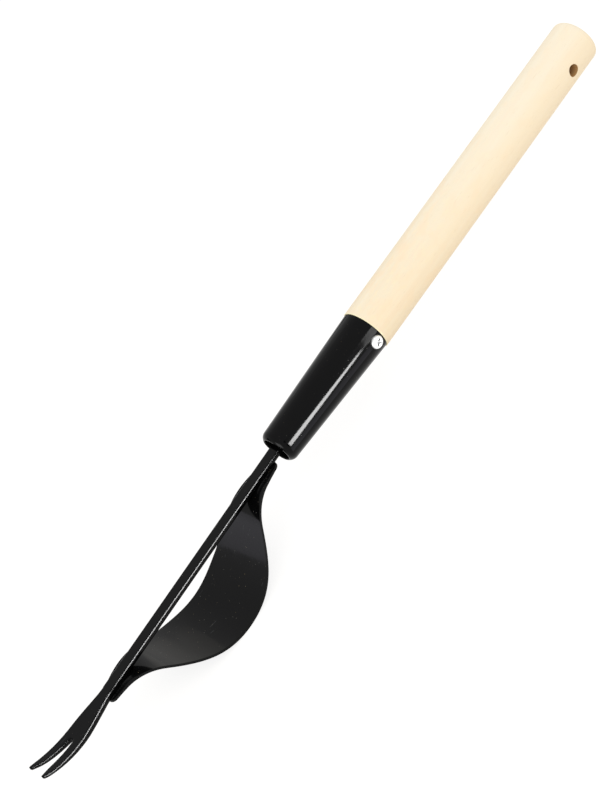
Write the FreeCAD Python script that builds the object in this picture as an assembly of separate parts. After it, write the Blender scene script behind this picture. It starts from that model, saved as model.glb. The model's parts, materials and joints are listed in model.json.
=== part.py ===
import FreeCAD, Part
import math
import os

# Hand weeder: a wooden handle in a tapered steel socket, a flat shank that ends in a
# notched fork, and a bowed fulcrum plate under the shank.
# Millimetres. While the pieces are made, +X runs along the handle's axis towards its end,
# x = 0 is the plane where the wood meets the socket, +Z is up and the plate bows down.
# The last step moves the whole tool, so that the origin is the bottom centre of its box.

# --- driving dimensions -------------------------------------------------------------
HANDLE_D = 26.0
HANDLE_LENGTH = 195.4
HANDLE_END_ROUND = 3.2
GRIP_EDGE_BEVEL = 0.25
HANG_HOLE_D = 6.4
HANG_HOLE_FROM_END = 20.8
HOLE_EDGE_BEVEL = 0.35

FERRULE_LENGTH = 75.6
FERRULE_RIM_STEP = 0.4
FERRULE_END_D = 19.7
FERRULE_WALL = 1.2
SHOULDER_RADIUS = 4.2
LIP_D = 15.6
LIP_WIDTH = 0.5
LIP_BEVEL = 0.25
RECESS_DEPTH = 3.3
SOCKET_CANT = 0.95
TRIM_ALLOWANCE = 1.0

SCREW_X = -4.4
SCREW_CLOCKING = 4.0
SCREW_HEAD_D = 6.9
SCREW_HEAD_HEIGHT = 2.1
SCREW_HEAD_ROUND = 1.5
SCREW_CORE_D = 3.0
SCREW_LENGTH = 11.0
SCREW_SEAT_DEPTH = 0.35
SCREW_HOLE_CLEARANCE = 0.3
CROSS_SPAN = 4.2
CROSS_TIP_SPAN = 1.6
CROSS_SLOT_WIDTH = 1.0
CROSS_DEPTH = 1.5
CROSS_CLOCKING = 40.0

SHANK_WIDTH = 6.5
SHANK_THICKNESS = 3.0
SHANK_EDGE_ROUND = 0.6
SHANK_EXPOSED = 139.9
SHANK_CANT = 1.4
CANT_PIVOT_RUN = 72.4
TANG_LENGTH = 52.0
TANG_END_SCALE = 0.45

BLADE_LENGTH = 49.6
BLADE_WIDTH = 13.3
BLADE_ROOT_INSET = 0.13
FLARE_REACH = 16.5
FLARE_SHARPNESS = 1.7
BEND_RUN = 28.1
BEND_RADIUS = 55.0
TIP_Y = 5.1
TIP_THICKNESS = 1.4
TIP_ROUND = 1.2
TIP_CURVE = 7.0
NOTCH_DEPTH = 21.9
NOTCH_ROOT_RADIUS = 1.25
NOTCH_MOUTH_HALF = 2.9
FORK_EDGE_BEVEL = 0.5

PLATE_SETBACK = 75.8
PLATE_REAR = 70.6
PLATE_FRONT = 67.8
PLATE_THICKNESS = 1.6
PLATE_BOW = 31.4
PLATE_SAG_RATE = 0.0134
PLATE_BEND_RADIUS = 25.0
PLATE_HALF_WIDTH = 21.6
TAB_HALF_WIDTH = 2.5
NECK_FROM_CENTRE = 41.4
NECK_SHARPNESS = 3.9
TAB_CORNER_RADIUS = 3.4
PLUG_WELD_D = 4.0
PLUG_WELD_CROWN = 0.5
PLUG_WELD_BEVEL = 0.4
PLUG_FROM_CENTRE = 63.0

WELD_BASE_RADIUS = 5.0
WELD_TOP_RADIUS = 3.7
WELD_HEIGHT = 1.8

# --- values worked out from them ----------------------------------------------------
HANDLE_R = HANDLE_D / 2
HANG_HOLE_X = HANDLE_LENGTH - HANG_HOLE_FROM_END
LIP_R = LIP_D / 2
FERRULE_TOP_D = HANDLE_D - 2 * FERRULE_RIM_STEP
FERRULE_TAPER = (FERRULE_TOP_D - FERRULE_END_D) / 2 / FERRULE_LENGTH
RECESS_R = LIP_R - LIP_WIDTH
WEB_OUTER_X = RECESS_DEPTH - FERRULE_LENGTH
WEB_INNER_X = WEB_OUTER_X + FERRULE_WALL
TANG_TIP_X = WEB_INNER_X + TANG_LENGTH
CANT_PIVOT_X = -FERRULE_LENGTH - CANT_PIVOT_RUN
PLATE_CENTRE_X = -FERRULE_LENGTH - PLATE_SETBACK
BLADE_START_X = -FERRULE_LENGTH - SHANK_EXPOSED
TIP_X = BLADE_START_X - BLADE_LENGTH
BEND_START_X = TIP_X + BEND_RUN
NOTCH_ROOT_X = TIP_X + NOTCH_DEPTH
BLADE_ROOT_HALF = SHANK_WIDTH / 2 - BLADE_ROOT_INSET
TIP_OUTER_Y = TIP_Y + TIP_ROUND
TIP_INNER_Y = TIP_Y - TIP_ROUND
TINE_END_X = TIP_X + TIP_ROUND
NOTCH_START_X = NOTCH_ROOT_X - NOTCH_ROOT_RADIUS
TAB_DROP = (SHANK_THICKNESS + PLATE_THICKNESS) / 2

X_AXIS = FreeCAD.Vector(1, 0, 0)
Y_AXIS = FreeCAD.Vector(0, 1, 0)
Z_AXIS = FreeCAD.Vector(0, 0, 1)


def vec(x, y, z):
    return FreeCAD.Vector(x, y, z)


def line(start, end):
    return Part.makeLine(start, end)


def arc(start, middle, end):
    return Part.Arc(start, middle, end).toShape()


def curve(points):
    """Smooth curve through a few points."""
    spline = Part.BSplineCurve()
    spline.interpolate(points)
    return spline.toShape()


def face_of(edges):
    return Part.Face(Part.Wire(Part.__sortEdges__(edges)))


def canted(shape):
    """Turn a piece of the shank group onto the shank's real line, a little off the handle's."""
    turned = shape.copy()
    turned.rotate(vec(CANT_PIVOT_X, 0, 0), Y_AXIS, -SHANK_CANT)
    return turned


def socket_canted(shape):
    """Tip a piece made on the handle's axis onto the socket's axis."""
    turned = shape.copy()
    turned.rotate(vec(0, 0, 0), Y_AXIS, SOCKET_CANT)
    return turned


def ferrule_radius(x):
    """Outer radius of the socket's cone at x."""
    return FERRULE_TOP_D / 2 + FERRULE_TAPER * x


def bore_radius(x):
    """Inner radius of the socket's cone at x."""
    return ferrule_radius(x) - FERRULE_WALL


# --- shank and fork -----------------------------------------------------------------
def shank_bar():
    length = WEB_INNER_X - BLADE_START_X
    corner = vec(BLADE_START_X, -SHANK_WIDTH / 2, -SHANK_THICKNESS / 2)
    bar = Part.makeBox(length, SHANK_WIDTH, SHANK_THICKNESS, corner)
    long_edges = [e for e in bar.Edges if abs(e.tangentAt(e.FirstParameter).x) > 0.9]
    return bar.makeFillet(SHANK_EDGE_ROUND, long_edges)


def tang():
    """Tapered point that is driven into the wood."""
    def section(x, scale):
        half_y = scale * (SHANK_WIDTH / 2 - SHANK_EDGE_ROUND / 2)
        half_z = scale * (SHANK_THICKNESS / 2 - SHANK_EDGE_ROUND / 4)
        corners = [vec(x, -half_y, -half_z), vec(x, half_y, -half_z)]
        corners += [vec(x, half_y, half_z), vec(x, -half_y, half_z)]
        return Part.makePolygon(corners + corners[:1])
    return Part.makeLoft([section(WEB_INNER_X, 1.0), section(TANG_TIP_X, TANG_END_SCALE)], True)


def bend_point(turn, half_thickness):
    """Point of the fork's side profile after some turn of the bend, off its middle line."""
    radius = BEND_RADIUS - half_thickness
    return vec(BEND_START_X - radius * math.sin(turn), 0, BEND_RADIUS - radius * math.cos(turn))


def blade_side():
    """Side view of the fork: flat, then bent up and thinned towards the tips."""
    full_turn = math.asin((BEND_START_X - TIP_X) / BEND_RADIUS)
    half = SHANK_THICKNESS / 2
    tip_half = TIP_THICKNESS / 2
    mid_half = (half + tip_half) / 2
    edges = [line(vec(BLADE_START_X, 0, half), vec(BEND_START_X, 0, half)),
             arc(vec(BEND_START_X, 0, half), bend_point(full_turn / 2, mid_half),
                 bend_point(full_turn, tip_half)),
             line(bend_point(full_turn, tip_half), bend_point(full_turn, -tip_half)),
             arc(bend_point(full_turn, -tip_half), bend_point(full_turn / 2, -mid_half),
                 vec(BEND_START_X, 0, -half)),
             line(vec(BEND_START_X, 0, -half), vec(BLADE_START_X, 0, -half)),
             line(vec(BLADE_START_X, 0, -half), vec(BLADE_START_X, 0, half))]
    return face_of(edges)


def into_tip(x):
    """How far x has come into the stretch where a tine curves to its point, squared."""
    return max(0.0, 1 - (x - TINE_END_X) / TIP_CURVE) ** 2


def fork_half_width(x):
    """Half width of the fork: it flares from the shank and draws in at the tips."""
    flare = 1 - math.exp(-((BLADE_START_X - x) / FLARE_REACH) ** FLARE_SHARPNESS)
    straight = BLADE_ROOT_HALF + (BLADE_WIDTH / 2 - BLADE_ROOT_HALF) * flare
    return straight - (BLADE_WIDTH / 2 - TIP_OUTER_Y) * into_tip(x)


def notch_half_width(x):
    """Half width of the notch: straight-sided from its root, opening at the tips."""
    run = (NOTCH_START_X - x) / (NOTCH_START_X - TINE_END_X)
    straight = NOTCH_ROOT_RADIUS + (NOTCH_MOUTH_HALF - NOTCH_ROOT_RADIUS) * run
    return straight + (TIP_INNER_Y - NOTCH_MOUTH_HALF) * into_tip(x)


def tine_outline(side):
    """Plan curve of one half of the fork, from the shank round the tip to the notch root."""
    def edge(half_width, start, samples):
        xs = [start + (TINE_END_X - start) * i / samples for i in range(samples + 1)]
        return [vec(x, side * half_width(x), 0) for x in xs]
    tip = []
    for degrees in (45, 90, 135):
        turn = math.radians(degrees)
        tip.append(vec(TINE_END_X - TIP_ROUND * math.sin(turn),
                       side * (TIP_Y + TIP_ROUND * math.cos(turn)), 0))
    inner = edge(notch_half_width, NOTCH_START_X, 8)
    return curve(edge(fork_half_width, BLADE_START_X, 12) + tip + inner[::-1])


def blade():
    edges = [tine_outline(1), tine_outline(-1)]
    edges.append(arc(vec(NOTCH_START_X, NOTCH_ROOT_RADIUS, 0), vec(NOTCH_ROOT_X, 0, 0),
                     vec(NOTCH_START_X, -NOTCH_ROOT_RADIUS, 0)))
    edges.append(line(vec(BLADE_START_X, BLADE_ROOT_HALF, 0), vec(BLADE_START_X, -BLADE_ROOT_HALF, 0)))
    depth = 4 * SHANK_THICKNESS
    plan = face_of(edges)
    plan.translate(vec(0, 0, -depth))
    plan_prism = plan.extrude(vec(0, 0, 3 * depth))
    side = blade_side()
    side.translate(vec(0, -BLADE_WIDTH, 0))
    side_prism = side.extrude(vec(0, 2 * BLADE_WIDTH, 0))
    return plan_prism.common(side_prism)


def upper_edges(fork):
    """Edges round the fork's upper face, but not those straight across it."""
    chosen = []
    for edge in fork.Edges:
        middle = edge.valueAt((edge.FirstParameter + edge.LastParameter) / 2)
        across = edge.BoundBox.XLength < TIP_ROUND / 4
        if middle.z > bend_height(middle.x) and not across:
            chosen.append(edge)
    return chosen


def bend_height(x):
    """Height of the fork's middle line at x."""
    if x > BEND_START_X:
        return 0
    return BEND_RADIUS - math.sqrt(BEND_RADIUS ** 2 - (BEND_START_X - x) ** 2)


def fork_shank():
    fork = blade()
    fork = fork.makeChamfer(FORK_EDGE_BEVEL, upper_edges(fork))
    whole = shank_bar().fuse([fork.Solids[0], tang()]).removeSplitter()
    return canted(whole.Solids[0])


# --- fulcrum plate ------------------------------------------------------------------
def belly_end():
    """Distance from the plate's centre at which its bow runs into the reverse bend."""
    reach = NECK_FROM_CENTRE
    for _ in range(40):
        slope = math.atan(2 * PLATE_SAG_RATE * reach)
        drop = TAB_DROP + PLATE_BEND_RADIUS * (1 - math.cos(slope))
        reach = math.sqrt((PLATE_BOW - drop) / PLATE_SAG_RATE)
    return reach, math.atan(2 * PLATE_SAG_RATE * reach)


def belly_point(reach, offset):
    """Point of the bow at a distance from the centre, offset square to the sheet."""
    slope = math.atan(2 * PLATE_SAG_RATE * reach)
    depth = PLATE_BOW - PLATE_SAG_RATE * reach ** 2
    return vec(reach + offset * math.sin(slope), 0, -depth - offset * math.cos(slope))


def plate_profile_edges(offset):
    """One skin of the plate's side view: tab, reverse bend, bow, reverse bend, tab."""
    reach, slope = belly_end()
    radius = PLATE_BEND_RADIUS - offset
    bend_x = reach + PLATE_BEND_RADIUS * math.sin(slope)
    bend_z = -TAB_DROP - PLATE_BEND_RADIUS
    samples = 12
    bow = [belly_point(reach * (2 * i / samples - 1), offset) for i in range(samples + 1)]
    edges = [curve(bow)]
    for side, tab_length in ((1, PLATE_REAR), (-1, PLATE_FRONT)):
        def on_bend(turn):
            return vec(side * (bend_x - radius * math.sin(turn)), 0, bend_z + radius * math.cos(turn))
        flat_end = vec(side * tab_length, 0, -TAB_DROP - offset)
        edges.append(arc(bow[-1 if side > 0 else 0], on_bend(slope / 2), on_bend(0)))
        edges.append(line(on_bend(0), flat_end))
    return edges


def plate_half_width(reach):
    """Half width of the plate: broad at the belly, narrowing to the tabs."""
    gain = PLATE_HALF_WIDTH - TAB_HALF_WIDTH
    return TAB_HALF_WIDTH + gain / (1 + (abs(reach) / NECK_FROM_CENTRE) ** NECK_SHARPNESS)


def plate_plan():
    """Plan outline of the plate with rounded tab corners, as a tall prism."""
    samples = 22
    span = PLATE_REAR + PLATE_FRONT
    reaches = [-PLATE_FRONT + span * i / samples for i in range(samples + 1)]
    near = [vec(r, -plate_half_width(r), 0) for r in reaches]
    far = [vec(r, plate_half_width(r), 0) for r in reaches]
    edges = [curve(near), curve(far), line(near[0], far[0]), line(near[-1], far[-1])]
    plan = face_of(edges)
    plan.translate(vec(0, 0, -2 * PLATE_BOW))
    prism = plan.extrude(vec(0, 0, 2 * PLATE_BOW))
    corners = [e for e in prism.Edges if abs(e.tangentAt(e.FirstParameter).z) > 0.9]
    return prism.makeFillet(TAB_CORNER_RADIUS, corners)


def plug_cylinder(reach, height):
    """Round plug that starts on the shank's underside and runs down."""
    top = vec(PLATE_CENTRE_X + reach, 0, -SHANK_THICKNESS / 2)
    return Part.makeCylinder(PLUG_WELD_D / 2, height, top, -Z_AXIS)


def fulcrum_plate():
    upper = plate_profile_edges(-PLATE_THICKNESS / 2)
    lower = plate_profile_edges(PLATE_THICKNESS / 2)
    ends = []
    for tab_end in (PLATE_REAR, -PLATE_FRONT):
        top = vec(tab_end, 0, -TAB_DROP + PLATE_THICKNESS / 2)
        ends.append(line(top, top - Z_AXIS * PLATE_THICKNESS))
    side = face_of(upper + lower + ends)
    side.translate(vec(0, -PLATE_HALF_WIDTH - 1, 0))
    sheet = side.extrude(vec(0, 2 * PLATE_HALF_WIDTH + 2, 0)).common(plate_plan())
    sheet.translate(vec(PLATE_CENTRE_X, 0, 0))
    for reach in (PLUG_FROM_CENTRE, -PLUG_FROM_CENTRE):
        sheet = sheet.cut(plug_cylinder(reach, 2 * PLATE_THICKNESS))
    return canted(sheet.Solids[0])


def plate_plug_welds():
    """Weld metal that fills the hole in each tab, with a low crown below."""
    plugs = []
    for reach in (PLUG_FROM_CENTRE, -PLUG_FROM_CENTRE):
        plug = plug_cylinder(reach, PLATE_THICKNESS + PLUG_WELD_CROWN)
        low_rim = [e for e in plug.Edges if e.Length > PLUG_WELD_D]
        low_rim = [min(low_rim, key=lambda e: e.BoundBox.ZMin)]
        plugs.append(canted(plug.makeChamfer(PLUG_WELD_BEVEL, low_rim)))
    return Part.makeCompound(plugs)


# --- socket, its weld and its screw -------------------------------------------------
def shoulder_centre():
    """Centre of the shoulder's arc, which touches the cone and ends on the lip."""
    steep = math.hypot(1, FERRULE_TAPER)
    gap = LIP_R + SHOULDER_RADIUS * steep - FERRULE_END_D / 2
    reach = (FERRULE_TAPER * gap + math.sqrt((SHOULDER_RADIUS * steep) ** 2 - gap ** 2)) / steep ** 2
    x = reach - FERRULE_LENGTH
    return x, ferrule_radius(x) - SHOULDER_RADIUS * steep


def ferrule_body():
    """Tapered socket with a rolled shoulder and an end web set back in a recess.

    Its wide end is made overlong, and is trimmed against the wood's shoulder.
    """
    centre_x, centre_r = shoulder_centre()
    first = math.atan(FERRULE_TAPER)
    last = math.asin((centre_x + FERRULE_LENGTH) / SHOULDER_RADIUS)

    def on_shoulder(turn):
        return vec(centre_x - SHOULDER_RADIUS * math.sin(turn), 0,
                   centre_r + SHOULDER_RADIUS * math.cos(turn))
    corners = [on_shoulder(last), vec(-FERRULE_LENGTH, 0, RECESS_R + LIP_BEVEL),
               vec(LIP_BEVEL - FERRULE_LENGTH, 0, RECESS_R), vec(WEB_OUTER_X, 0, RECESS_R),
               vec(WEB_OUTER_X, 0, 0), vec(WEB_INNER_X, 0, 0),
               vec(WEB_INNER_X, 0, bore_radius(WEB_INNER_X)),
               vec(TRIM_ALLOWANCE, 0, bore_radius(TRIM_ALLOWANCE)),
               vec(TRIM_ALLOWANCE, 0, ferrule_radius(TRIM_ALLOWANCE)), on_shoulder(first)]
    edges = [line(start, end) for start, end in zip(corners, corners[1:])]
    edges.append(arc(on_shoulder(first), on_shoulder((first + last) / 2), on_shoulder(last)))
    return socket_canted(face_of(edges).revolve(vec(0, 0, 0), X_AXIS, 360))


def on_screw_axis(shape):
    """Put a shape made on the Z axis, head up, onto the screw's place on the socket."""
    placed = shape.copy()
    placed.rotate(vec(0, 0, 0), X_AXIS, 90 - SCREW_CLOCKING)
    placed.translate(vec(SCREW_X, 0, 0))
    return placed


SCREW_SEAT = ferrule_radius(SCREW_X) - SCREW_SEAT_DEPTH


def cross_recess():
    """Two tapered slots at right angles, cut into the top of the screw's head."""
    top = SCREW_SEAT + SCREW_HEAD_HEIGHT
    half_top = CROSS_SPAN / 2
    half_tip = CROSS_TIP_SPAN / 2
    corners = [vec(-half_top, 0, top), vec(half_top, 0, top), vec(half_tip, 0, top - CROSS_DEPTH),
               vec(-half_tip, 0, top - CROSS_DEPTH)]
    profile = Part.Face(Part.makePolygon(corners + corners[:1]))
    profile.translate(vec(0, -CROSS_SLOT_WIDTH / 2, 0))
    slot = profile.extrude(vec(0, CROSS_SLOT_WIDTH, 0))
    slot.rotate(vec(0, 0, 0), Z_AXIS, CROSS_CLOCKING)
    other = slot.copy()
    other.rotate(vec(0, 0, 0), Z_AXIS, 90)
    return slot.fuse(other)


def ferrule_screw():
    """Pan-head cross-recess screw; its thread is left to the finish."""
    head = Part.makeCylinder(SCREW_HEAD_D / 2, SCREW_HEAD_HEIGHT, vec(0, 0, SCREW_SEAT))
    rim = [max(head.Edges, key=lambda e: e.BoundBox.ZMin)]
    head = head.makeFillet(SCREW_HEAD_ROUND, rim)
    core = Part.makeCylinder(SCREW_CORE_D / 2, SCREW_LENGTH, vec(0, 0, SCREW_SEAT - SCREW_LENGTH))
    return on_screw_axis(head.fuse(core).removeSplitter().cut(cross_recess()).Solids[0])


def screw_seat_cut():
    """Room for the screw in the socket: a clearance hole and the flat under the head."""
    hole_r = (SCREW_CORE_D + SCREW_HOLE_CLEARANCE) / 2
    hole = Part.makeCylinder(hole_r, HANDLE_R, vec(0, 0, SCREW_SEAT - 2 * FERRULE_WALL))
    seat = Part.makeCylinder(SCREW_HEAD_D / 2, HANDLE_R, vec(0, 0, SCREW_SEAT))
    return on_screw_axis(hole.fuse(seat))


def ferrule(shank):
    return ferrule_body().cut([shank, screw_seat_cut(), grip_rod()]).Solids[0]


def ferrule_weld(shank):
    """Bead that joins the shank to the web, down in the recess."""
    shank_rise = (WEB_OUTER_X - CANT_PIVOT_X) * math.tan(math.radians(SHANK_CANT))
    socket_rise = -WEB_OUTER_X * math.tan(math.radians(SOCKET_CANT))
    foot = vec(WEB_OUTER_X, 0, shank_rise - socket_rise)
    bead = Part.makeCone(WELD_BASE_RADIUS, WELD_TOP_RADIUS, WELD_HEIGHT, foot, -X_AXIS)
    return socket_canted(bead).cut(shank).Solids[0]


# --- handle -------------------------------------------------------------------------
def grip_rod():
    grip = Part.makeCylinder(HANDLE_R, HANDLE_LENGTH, vec(0, 0, 0), X_AXIS)
    end_rim = [max(grip.Edges, key=lambda e: e.BoundBox.XMin)]
    socket_rim = [min(grip.Edges, key=lambda e: e.BoundBox.XMax)]
    return grip.makeFillet(HANDLE_END_ROUND, end_rim).makeChamfer(GRIP_EDGE_BEVEL, socket_rim)


def wood_handle(shank, screw):
    """Round grip whose turned-down spigot fills the socket."""
    grip = grip_rod()
    spigot = Part.makeCone(bore_radius(WEB_INNER_X), bore_radius(TRIM_ALLOWANCE),
                           TRIM_ALLOWANCE - WEB_INNER_X, vec(WEB_INNER_X, 0, 0), X_AXIS)
    hang_hole = Part.makeCylinder(HANG_HOLE_D / 2, 2 * HANDLE_D, vec(HANG_HOLE_X, -HANDLE_D, 0), Y_AXIS)
    drilled = grip.cut(hang_hole)
    hole_rims = [e for e in drilled.Edges if abs(e.CenterOfMass.x - HANG_HOLE_X) < HANG_HOLE_D / 4
                 and e.BoundBox.XLength > 0.9 * HANG_HOLE_D]
    drilled = drilled.makeChamfer(HOLE_EDGE_BEVEL, hole_rims)
    whole = drilled.fuse(socket_canted(spigot)).removeSplitter()
    return whole.cut([shank, screw]).Solids[0]


# --- assembly -----------------------------------------------------------------------
def build():
    shank = fork_shank()
    screw = ferrule_screw()
    return {
        "wood_handle": wood_handle(shank, screw),
        "ferrule": ferrule(shank),
        "ferrule_screw": screw,
        "ferrule_weld": ferrule_weld(shank),
        "fork_shank": shank,
        "fulcrum_plate": fulcrum_plate(),
        "plate_plug_welds": plate_plug_welds(),
    }


os.makedirs("parts", exist_ok=True)
pieces = build()
box = Part.makeCompound(list(pieces.values())).optimalBoundingBox(False)
shift = vec(-box.Center.x, -box.Center.y, -box.ZMin)
print("box", round(box.XLength, 3), round(box.YLength, 3), round(box.ZLength, 3), "shift", shift)
for node, shape in pieces.items():
    placed = shape.copy()
    placed.translate(shift)
    placed.exportStep("parts/" + node + ".step")
    print(node, placed.isValid(), len(placed.Solids), round(placed.Volume, 1))
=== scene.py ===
import json
import math

import bpy
from mathutils import Matrix, Vector


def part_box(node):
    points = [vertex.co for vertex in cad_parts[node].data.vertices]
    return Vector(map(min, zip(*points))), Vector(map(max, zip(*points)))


# Looks, light and camera for a hand weeder: a pale wood handle in a gloss-black socket, and a
# black forged shank with a notched fork and a bowed fulcrum plate. Metres, in the CAD's frame:
# +X runs along the handle to its end, +Z is up, and the plate's bow stands on z = 0.

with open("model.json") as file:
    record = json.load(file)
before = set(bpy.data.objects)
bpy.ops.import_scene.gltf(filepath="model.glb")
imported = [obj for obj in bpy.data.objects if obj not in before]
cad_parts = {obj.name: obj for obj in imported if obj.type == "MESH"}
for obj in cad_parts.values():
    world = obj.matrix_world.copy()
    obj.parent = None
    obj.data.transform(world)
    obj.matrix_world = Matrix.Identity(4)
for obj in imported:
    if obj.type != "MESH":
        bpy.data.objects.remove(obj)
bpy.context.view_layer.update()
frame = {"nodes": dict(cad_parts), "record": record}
nodes = frame["nodes"]

# --- places taken from the frame ------------------------------------------------------
hanging_hole = frame["record"]["mounts"][0]
HOLE_CENTRE = hanging_hole["pos_m"]
HOLE_RADIUS = hanging_hole["dims"]["r_mm"] / 1000
JOINT_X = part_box("ferrule")[1].x        # where the wood meets the socket
JOINT = Vector((JOINT_X, 0.0, HOLE_CENTRE[2]))

# --- camera ---------------------------------------------------------------------------
VIEW_RISE = math.radians(42.0)      # how far the view comes from above the tool's side
VIEW_SWING = math.radians(13.97)    # how far it is swung towards the fork
VIEW_ROLL = math.radians(35.94)     # how far the tool leans in the picture
VIEW_DISTANCE = 0.9387              # how far the camera stands back from the joint
VIEW_RIGHT = -0.03234               # how far it is moved to its own right
VIEW_UP = -0.03443                  # and up
LENS_MM = 85.5

# --- wood -----------------------------------------------------------------------------
WOOD_LIGHT = (0.90, 0.80, 0.62, 1)
WOOD_DARK = (0.87, 0.745, 0.545, 1)
WOOD_STREAK = (0.90, 0.72, 0.53, 1)
WOOD_PATCH = (0.93, 0.74, 0.52, 1)
WOOD_SPOT = (0.94, 0.80, 0.53, 1)
WOOD_FAR_END = (0.95, 0.87, 0.71, 1)
# painted warm shade for the wood's -Y side
WOOD_WARM_SIDE_SHADE = (0.93, 0.76, 0.52, 1)
WOOD_PORE = (0.66, 0.50, 0.33, 1)
# brown of the drilled end grain, darkened further with painted shade inside the bore
WOOD_BORE_GRAIN_AND_SHADE = (0.50, 0.30, 0.13, 1)
# painted highlight along the wood's rim at the joint
WOOD_RIM_HIGHLIGHT = (0.98, 0.89, 0.60, 1)
WOOD_SHEEN = 0.06
PALING_LENGTH = 0.15                # the wood gets paler over this length from the joint
WARM_SHADE_FULL_Y = -0.0125               # painted warm shade on the -Y side is strongest beyond here
WARM_SHADE_END_Y = -0.0075                # and gone from here on
RIM_HIGHLIGHT_FULL = 0.0003                   # painted highlight on the wood's rim, full up to here from the joint
RIM_HIGHLIGHT_END = 0.0005                    # and gone from here on
HOLE_FADE = 0.0002                  # the bore's brown end grain and painted shade fade out over this much past its wall

# --- enamel and zinc ------------------------------------------------------------------
DEEP_BLACK = (0.00135, 0.00135, 0.0015, 1)
SOFT_BLACK = (0.00225, 0.00225, 0.0024, 1)
GOLD_DUST = (0.40, 0.29, 0.13, 1)
GREY_DUST = (0.38, 0.36, 0.32, 1)
SCRATCH_GREY = (0.07, 0.07, 0.075, 1)
ENAMEL_SHEEN = 0.1                  # weak, because gloss sees the white surroundings too
BAR_PAINT_ROUND = 0.0009            # how far the paint rounds over the socket and shank's edges
SHEET_PAINT_ROUND = 0.0001          # and over the thin plate's
BAR_DUST = 0.12                     # how much the dust shows on the socket and shank
SHEET_DUST = 0.45                   # and on the plate
ZINC_DULL = (0.62, 0.63, 0.63, 1)
ZINC_BRIGHT = (0.86, 0.86, 0.84, 1)
# painted shade for the screw head's recess
RECESS_SHADE = (0.12, 0.12, 0.125, 1)
SHADE_REACH = 0.0015                # painted shade darkens the zinc where other walls are as near as this
NEARBY_SAMPLES = 8                  # rays that look for nearby walls and edges

# --- floor, sky and lamp --------------------------------------------------------------
WHITE = (1, 1, 1, 1)
FLOOR_COLOUR = (0.92, 0.89, 0.845, 1)
FLOOR_SHADE = (0.9062, 0.87665, 0.832325, 1)
FLOOR_GLOW = 1.12                   # strength of the white that lifts the floor
FLOOR_LIFT = 0.75                   # how much of that white is mixed in
FLOOR_HALF = 4.0
FLOOR_DROP = 0.0002                 # how far the floor lies under the plate
SKY_LEVEL = 0.90                    # strength of the sky where it isn't seen directly
KEY_POWER = 2.9
KEY_SIZE = 0.9
KEY_OFFSET = (-0.15, -0.55, 0.95)

# --- light panels: the nodes that show them, places from the joint, and strengths -----
# A span is an oblong's ends one way and the other; an outline lists a panel's corners.
SOCKET = ("ferrule", "ferrule_screw")
PLATE = ("fulcrum_plate", "plate_plug_welds")
SHANK = ("fork_shank",)
COOL = (0.93, 0.92, 1.0, 1)
WARM = (1.0, 0.985, 0.95, 1)
FRONT_Y = -0.20                     # the strip and the card stand this far in front
STRIP_OUTLINE = [(-0.042, -0.034), (0.029, -0.005), (0.029, 0.021), (-0.030, 0.040), (-0.042, 0.044)]
STRIP_LEVEL = 74.0
CARD_OUTLINE = [(0.034, 0.0), (0.13, 0.0), (0.13, 0.115), (0.044, 0.115)]
CARD_LEVEL = 10.0
FAR_Y = -0.60                       # two panels with a gap, so that most of the shank is dark from behind
FAR_SPANS = {"far_low": (-0.18, 0.03, -0.03, 0.18), "far_high": (-0.18, 0.03, 0.30, 0.52)}
FAR_LEVEL = 130.0
FRONT_CARD_Z = -0.0315
FRONT_CARD_SPAN = (-0.08, 0.02, -0.12, -0.045)
FRONT_CARD_LEVEL = 2.6
END_PANEL_X = -0.75
END_PANEL_SPAN = (-0.30, 0.10, -0.03, 0.30)
END_PANEL_LEVEL = 6.0
LEFT_PANEL_Y = 0.40
LEFT_PANEL_SPAN = (-0.62, -0.36, -0.032, 0.165)
LEFT_PANEL_LEVEL = 2.0
RIGHT_PANEL_Y = 0.275
RIGHT_PANEL_LEAN = 0.8
RIGHT_PANEL_OUTLINE = [(0.035, -0.032), (0.10, -0.032), (0.50, 0.27), (0.20, 0.27), (0.115, 0.06)]
RIGHT_PANEL_LEVEL = 1.3


# --- shader building blocks -----------------------------------------------------------
def plug(tree, socket, value):
    """Link another node's output into a socket, or set it to a number or a colour."""
    if isinstance(value, bpy.types.NodeSocket):
        tree.links.new(value, socket)
    else:
        socket.default_value = value


def add(tree, kind, inputs=None, **settings):
    """New shader node with its inputs and settings."""
    made = tree.nodes.new("ShaderNode" + kind)
    for name, value in settings.items():
        setattr(made, name, value)
    for key, value in (inputs or {}).items():
        plug(tree, made.inputs[key], value)
    return made


def calc(tree, operation, a, b):
    """Sum, product or other arithmetic of two values."""
    return add(tree, "Math", {0: a, 1: b}, operation=operation).outputs[0]


def remap(tree, value, low, high, to_low=0.0, to_high=1.0):
    """Value spread smoothly from one range to another, and held at its ends."""
    inputs = {"Value": value, "From Min": low, "From Max": high, "To Min": to_low, "To Max": to_high}
    return add(tree, "MapRange", inputs, interpolation_type="SMOOTHSTEP").outputs[0]


def blend_colour(tree, share, first, second):
    """First colour at share 0, second at share 1."""
    return add(tree, "Mix", {0: share, 6: first, 7: second}, data_type="RGBA").outputs[2]


def place(tree, stretch=(1, 1, 1), turn=(0, 0, 0), shift=(0, 0, 0)):
    """Object coordinates, turned, stretched and shifted."""
    coords = add(tree, "TexCoord").outputs["Object"]
    inputs = {"Vector": coords, "Location": shift, "Rotation": turn, "Scale": stretch}
    return add(tree, "Mapping", inputs).outputs[0]


def position(tree, axis):
    """One of the object coordinates."""
    return add(tree, "SeparateXYZ", {0: place(tree)}).outputs[axis]


def noise(tree, where, scale, detail=2.0, roughness=0.5):
    """Soft noise from 0 to 1, with more small waves at a higher detail."""
    inputs = {"Vector": where, "Scale": scale, "Detail": detail, "Roughness": roughness}
    return add(tree, "TexNoise", inputs).outputs["Fac"]


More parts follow.
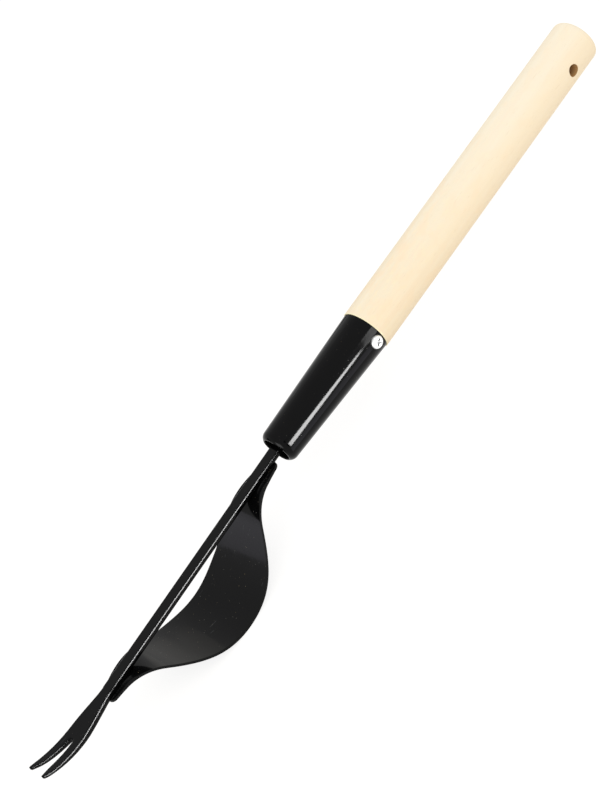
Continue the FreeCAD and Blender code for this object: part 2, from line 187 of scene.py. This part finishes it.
def bump(tree, height, distance, under=None):
    """Normals of a relief, laid over the normals of the surface under it."""
    inputs = {"Height": height, "Distance": distance, "Strength": 1.0}
    if under is not None:
        inputs["Normal"] = under
    return add(tree, "Bump", inputs).outputs[0]


def new_material(name):
    """Empty node material with its Principled shader."""
    material = bpy.data.materials.new(name)
    material.use_nodes = True
    tree = material.node_tree
    return material, tree, tree.nodes["Principled BSDF"]


def feed(tree, shader, **inputs):
    """Set or link a shader's inputs; an underscore stands for a space."""
    for name, value in inputs.items():
        plug(tree, shader.inputs[name.replace("_", " ")], value)


def swap_shader(tree, old, surface):
    """Let another shader make the surface."""
    tree.links.new(surface, tree.nodes["Material Output"].inputs["Surface"])
    tree.nodes.remove(old)


# --- materials ------------------------------------------------------------------------
def in_hole(tree):
    """1 on the hanging hole's bore and 0 outside it, by the distance from its axis."""
    offset = add(tree, "VectorMath", {0: place(tree), 1: HOLE_CENTRE}, operation="SUBTRACT").outputs[0]
    flat = add(tree, "VectorMath", {0: offset, 1: (1, 0, 1)}, operation="MULTIPLY").outputs[0]
    gap = add(tree, "VectorMath", {0: flat}, operation="LENGTH").outputs["Value"]
    return remap(tree, gap, HOLE_RADIUS, HOLE_RADIUS + HOLE_FADE, 1.0, 0.0)


def wood_material():
    """Pale sanded hardwood: faint lengthwise streaks, warm patches, spots and pores, with painted shade
    on the -Y side and in the bore, and a painted rim highlight.
    """
    material, tree, shader = new_material("pale_wood")
    grain = place(tree, stretch=(0.05, 1, 1), turn=(0, 0.02, 0.015), shift=(0, 0.021, -0.07))
    ring_inputs = {"Vector": grain, "Scale": 75.0, "Distortion": 5.0, "Detail": 3.0, "Detail Scale": 1.2}
    rings = add(tree, "TexWave", ring_inputs, wave_type="RINGS", rings_direction="X").outputs["Fac"]
    streaks = noise(tree, place(tree, stretch=(0.035, 1, 1)), scale=420.0, detail=4.0, roughness=0.6)
    patches = noise(tree, place(tree, stretch=(0.45, 1, 1), shift=(0.3, 0, 0)), scale=190.0)
    spots = noise(tree, place(tree, stretch=(0.45, 1, 1), shift=(0.7, 0, 0)), 600.0, 3.0, 0.6)
    flecks = noise(tree, place(tree, stretch=(0.09, 1, 1)), scale=2300.0)
    along = position(tree, 0)
    aside = position(tree, 1)
    layers = [
        (remap(tree, streaks, 0.45, 0.75, to_high=0.6), WOOD_STREAK),
        (remap(tree, patches, 0.48, 0.68, to_high=0.7), WOOD_PATCH),
        (remap(tree, spots, 0.45, 0.7, to_high=0.4), WOOD_SPOT),
        (remap(tree, along, JOINT_X, JOINT_X + PALING_LENGTH, to_high=0.45), WOOD_FAR_END),
        # painted warm shade on the -Y side
        (remap(tree, aside, WARM_SHADE_FULL_Y, WARM_SHADE_END_Y, 0.5, 0.0), WOOD_WARM_SIDE_SHADE),
        (remap(tree, flecks, 0.66, 0.74, to_high=0.25), WOOD_PORE),
        # painted shade in the bore, over its brown end grain
        (in_hole(tree), WOOD_BORE_GRAIN_AND_SHADE),
        # painted highlight on the rim at the joint
        (remap(tree, along, JOINT_X + RIM_HIGHLIGHT_FULL, JOINT_X + RIM_HIGHLIGHT_END, 1.0, 0.0), WOOD_RIM_HIGHLIGHT),
    ]
    base = blend_colour(tree, remap(tree, rings, 0.2, 1.0, to_high=0.55), WOOD_LIGHT, WOOD_DARK)
    for share, colour in layers:
        base = blend_colour(tree, share, base, colour)
    ripple = bump(tree, streaks, distance=0.00006)
    surface = bump(tree, flecks, distance=0.00004, under=ripple)
    feed(tree, shader, Base_Color=base, Normal=surface, Specular_IOR_Level=WOOD_SHEEN,
         Roughness=remap(tree, streaks, 0.3, 0.8, 0.5, 0.62))
    return material


def enamel_material(name, paint_round, dust_share):
    """Black gloss enamel, rounded over edges: orange peel, dust specks, a few hairlines."""
    material, tree, shader = new_material(name)
    where = place(tree)
    peel = noise(tree, where, scale=420.0)
    cloud = noise(tree, where, scale=60.0, detail=3.0)
    specks = add(tree, "TexVoronoi", {"Vector": where, "Scale": 850.0, "Randomness": 1.0})
    speck_size = remap(tree, specks.outputs["Distance"], 0.06, 0.17, 1.0, 0.0)
    tint = add(tree, "SeparateColor", {0: specks.outputs["Color"]}).outputs
    crowding = calc(tree, "ADD", tint[0], calc(tree, "MULTIPLY", cloud, 0.6))
    dust = calc(tree, "MULTIPLY", speck_size, remap(tree, crowding, 1.13, 1.20))
    dust_colour = blend_colour(tree, tint[1], GOLD_DUST, GREY_DUST)
    scratch_field = noise(tree, place(tree, stretch=(0.12, 2.2, 1.1), turn=(0.5, 0.4, 0.7)), 420.0, 1.0)
    scratches = remap(tree, scratch_field, 0.745, 0.77, to_high=0.3)
    base = blend_colour(tree, cloud, DEEP_BLACK, SOFT_BLACK)
    base = blend_colour(tree, calc(tree, "MULTIPLY", dust, dust_share), base, dust_colour)
    base = blend_colour(tree, scratches, base, SCRATCH_GREY)
    rounded = add(tree, "Bevel", {"Radius": paint_round}, samples=NEARBY_SAMPLES).outputs[0]
    peeled = bump(tree, peel, distance=0.000009, under=rounded)
    surface = bump(tree, dust, distance=0.00003, under=peeled)
    feed(tree, shader, Base_Color=base, Normal=surface, Specular_IOR_Level=ENAMEL_SHEEN,
         Roughness=remap(tree, cloud, 0.3, 0.7, 0.07, 0.12))
    return material


def zinc_material():
    """Bright zinc plate with a fine grain, darkened with painted shade in the recess."""
    material, tree, shader = new_material("bright_zinc")
    where = place(tree)
    grain = noise(tree, where, scale=2400.0, detail=3.0)
    tone = noise(tree, where, scale=700.0)
    # painted shade: darker where nearby walls close in
    nearby = add(tree, "AmbientOcclusion", {"Distance": SHADE_REACH}, samples=NEARBY_SAMPLES)
    unshaded = remap(tree, nearby.outputs["AO"], 0.25, 0.85)
    base = blend_colour(tree, unshaded, RECESS_SHADE, blend_colour(tree, tone, ZINC_DULL, ZINC_BRIGHT))
    feed(tree, shader, Base_Color=base, Metallic=1.0, Normal=bump(tree, grain, distance=0.00001),
         Roughness=remap(tree, grain, 0.3, 0.7, 0.38, 0.50))
    return material


def dress(material, *names):
    """Give CAD nodes their material."""
    for name in names:
        mesh = nodes[name].data
        mesh.materials.clear()
        mesh.materials.append(material)


# --- stage ----------------------------------------------------------------------------
def seen_directly(tree):
    """1 where the camera looks, straight or by way of gloss or glass."""
    rays = add(tree, "LightPath").outputs
    mirrored = calc(tree, "MAXIMUM", rays["Is Glossy Ray"], rays["Is Transmission Ray"])
    return calc(tree, "MAXIMUM", rays["Is Camera Ray"], mirrored)


def floor_material():
    """Pale studio floor, lit by the lamp and the sky, and lifted to white where it's seen directly."""
    material, tree, old = new_material("studio_floor")
    grain = noise(tree, place(tree), scale=9.0)
    colour = blend_colour(tree, grain, FLOOR_COLOUR, FLOOR_SHADE)
    lit = add(tree, "BsdfDiffuse", {"Color": colour}).outputs[0]
    white = add(tree, "Emission", {"Color": WHITE, "Strength": FLOOR_GLOW}).outputs[0]
    lift = calc(tree, "MULTIPLY", seen_directly(tree), FLOOR_LIFT)
    shown = add(tree, "MixShader", {0: lift, 1: lit, 2: white}).outputs[0]
    swap_shader(tree, old, shown)
    return material


def flat_mesh(name, corners, material):
    """One flat face on the stage, from its corners."""
    mesh = bpy.data.meshes.new(name)
    mesh.from_pydata([tuple(c) for c in corners], [], [tuple(range(len(corners)))])
    mesh.materials.append(material)
    made = bpy.data.objects.new(name, mesh)
    bpy.context.scene.collection.objects.link(made)
    return made


def oblong(start, end, low, high):
    """Outline of an oblong, from its ends one way and the other."""
    return [(start, low), (end, low), (end, high), (start, high)]


def upright(aside, outline, lean=0.0):
    """Corners of a panel beside the tool, from an (along, up) outline; it may lean outwards."""
    return [(along, aside + lean * up, up) for along, up in outline]


def lying(height, outline):
    """Corners of a panel that lies level, from an (along, aside) outline."""
    return [(along, aside, height) for along, aside in outline]


def crossing(along, outline):
    """Corners of a panel across the tool's line, from an (aside, up) outline."""
    return [(along, aside, up) for aside, up in outline]


def add_floor():
    """Wide floor just under the plate."""
    square = oblong(-FLOOR_HALF, FLOOR_HALF, -FLOOR_HALF, FLOOR_HALF)
    flat_mesh("studio_floor", lying(-FLOOR_DROP, square), floor_material())


def add_reflector(name, corners, level, shown_in, colour=WHITE):
    """Light panel that only some nodes' gloss sees; its corners are from the joint."""
    material, tree, old = new_material(name + "_light")
    swap_shader(tree, old, add(tree, "Emission", {"Color": colour, "Strength": level}).outputs[0])
    panel = flat_mesh(name, [JOINT + Vector(corner) for corner in corners], material)
    panel.visible_camera = False
    panel.visible_diffuse = False
    panel.visible_shadow = False
    receivers = bpy.data.collections.new(name + "_receivers")
    for node in shown_in:
        receivers.objects.link(nodes[node])
    panel.light_linking.receiver_collection = receivers


def add_reflectors():
    """Panels for the socket's highlights in front, below and past the fork, for the shank's far in
    front, and for the plate's behind."""
    add_reflector("strip", upright(FRONT_Y, STRIP_OUTLINE), STRIP_LEVEL, SOCKET)
    add_reflector("card", upright(FRONT_Y, CARD_OUTLINE), CARD_LEVEL, SOCKET)
    for name, span in FAR_SPANS.items():
        add_reflector(name, upright(FAR_Y, oblong(*span)), FAR_LEVEL, SHANK)
    add_reflector("front_card", lying(FRONT_CARD_Z, oblong(*FRONT_CARD_SPAN)),
                  FRONT_CARD_LEVEL, SOCKET, COOL)
    add_reflector("end_panel", crossing(END_PANEL_X, oblong(*END_PANEL_SPAN)), END_PANEL_LEVEL, SOCKET)
    add_reflector("left_panel", upright(LEFT_PANEL_Y, oblong(*LEFT_PANEL_SPAN)),
                  LEFT_PANEL_LEVEL, PLATE, COOL)
    add_reflector("right_panel", upright(RIGHT_PANEL_Y, RIGHT_PANEL_OUTLINE, RIGHT_PANEL_LEAN),
                  RIGHT_PANEL_LEVEL, PLATE, WARM)


def add_sky():
    """Even pale surroundings, white where they're seen directly."""
    world = bpy.data.worlds.new("studio")
    bpy.context.scene.world = world
    world.use_nodes = True
    tree = world.node_tree
    level = calc(tree, "MAXIMUM", seen_directly(tree), SKY_LEVEL)
    feed(tree, tree.nodes["Background"], Color=WHITE, Strength=level)


def add_key():
    """Wide soft lamp overhead."""
    lamp = bpy.data.lights.new("key_lamp", "AREA")
    lamp.shape = "DISK"
    lamp.size = KEY_SIZE
    lamp.energy = KEY_POWER
    key = bpy.data.objects.new("key_lamp", lamp)
    key.location = JOINT + Vector(KEY_OFFSET)
    key.rotation_euler = (JOINT - key.location).to_track_quat("-Z", "Y").to_euler()
    key.visible_glossy = False
    bpy.context.scene.collection.objects.link(key)


def add_camera():
    """Camera that looks down at the tool's side, turned so that the tool leans in the picture."""
    side = Vector((0, -math.cos(VIEW_RISE), math.sin(VIEW_RISE)))
    along = Vector((1, 0, 0))
    across = Vector((0, -math.sin(VIEW_RISE), -math.cos(VIEW_RISE)))
    back = side * math.cos(VIEW_SWING) - along * math.sin(VIEW_SWING)
    leaning = along * math.cos(VIEW_SWING) + side * math.sin(VIEW_SWING)
    right = leaning * math.sin(VIEW_ROLL) + across * math.cos(VIEW_ROLL)
    up = leaning * math.cos(VIEW_ROLL) - across * math.sin(VIEW_ROLL)
    data = bpy.data.cameras.new("camera")
    data.lens = LENS_MM
    camera = bpy.data.objects.new("camera", data)
    turn = Matrix((right, up, back)).transposed().to_4x4()
    spot = JOINT + VIEW_DISTANCE * back + VIEW_RIGHT * right + VIEW_UP * up
    camera.matrix_world = Matrix.Translation(spot) @ turn
    bpy.context.scene.collection.objects.link(camera)
    bpy.context.scene.camera = camera


add_camera()
add_floor()
add_sky()
add_key()
add_reflectors()

dress(wood_material(), "wood_handle")
dress(enamel_material("bar_enamel", BAR_PAINT_ROUND, BAR_DUST), "ferrule", "ferrule_weld", "fork_shank")
dress(enamel_material("sheet_enamel", SHEET_PAINT_ROUND, SHEET_DUST), "fulcrum_plate", "plate_plug_welds")
dress(zinc_material(), "ferrule_screw")

bpy.context.scene.view_settings.view_transform = "Standard"
